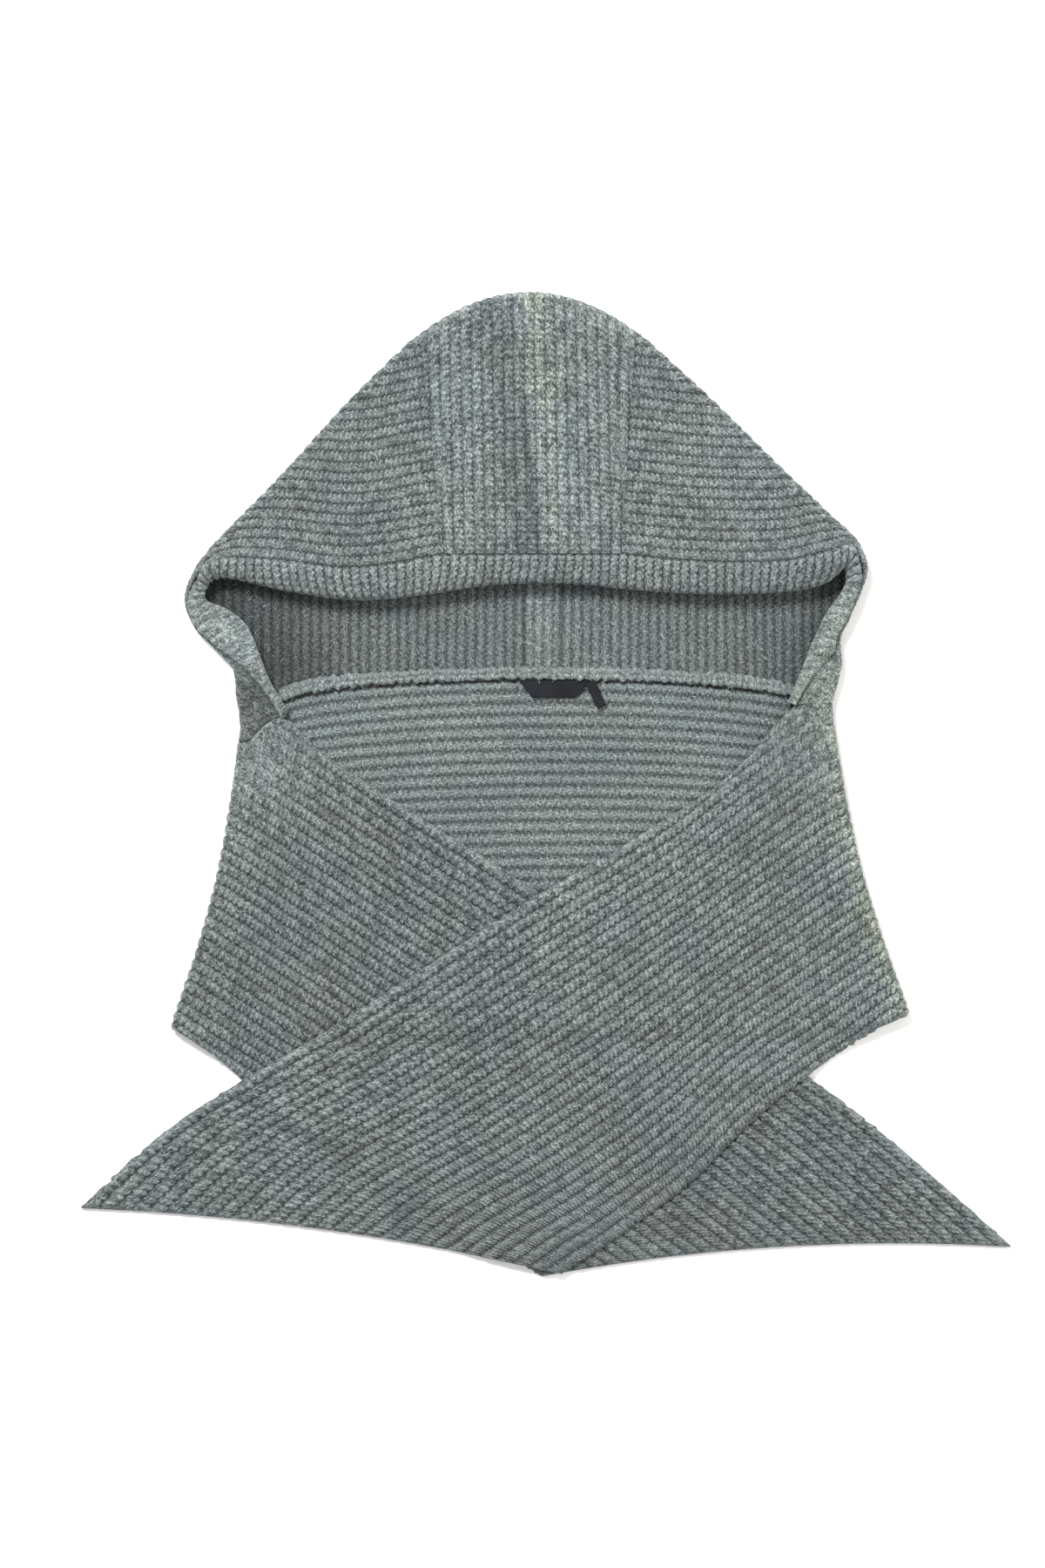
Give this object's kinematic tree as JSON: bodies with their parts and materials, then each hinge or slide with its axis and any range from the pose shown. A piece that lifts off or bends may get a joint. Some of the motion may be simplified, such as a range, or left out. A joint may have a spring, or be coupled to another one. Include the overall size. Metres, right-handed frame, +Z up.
{
  "type": "hooded scarf",
  "caption": "Ribbed knit hood sewn to a long scarf, lying flat with its face opening up and its tails crossed in front; it goes over the head and wraps the neck.",
  "frame": {"origin": "middle of the garment's outline on the surface that it lies on", "axes": "+X to the wearer's left, which is the viewer's right; +Y from the tails towards the crown; +Z up from the surface"},
  "size_m": [0.6892, 0.734, 0.0291],
  "materials": {
    "rib_knit": "heather grey wool blend rib knit, softly felted",
    "band_knit": "the same yarn in a finer folded rib",
    "woven_label": "dark charcoal woven satin ribbon, left bare"
  },
  "bodies": {
    "root": {"scarf": "rib_knit", "hood_side_left": "rib_knit", "hood_side_right": "rib_knit", "hood_centre": "rib_knit", "face_band": "band_knit", "neck_seam": "band_knit", "brand_label": "woven_label", "size_tab": "woven_label"}
  },
  "joints": []
}
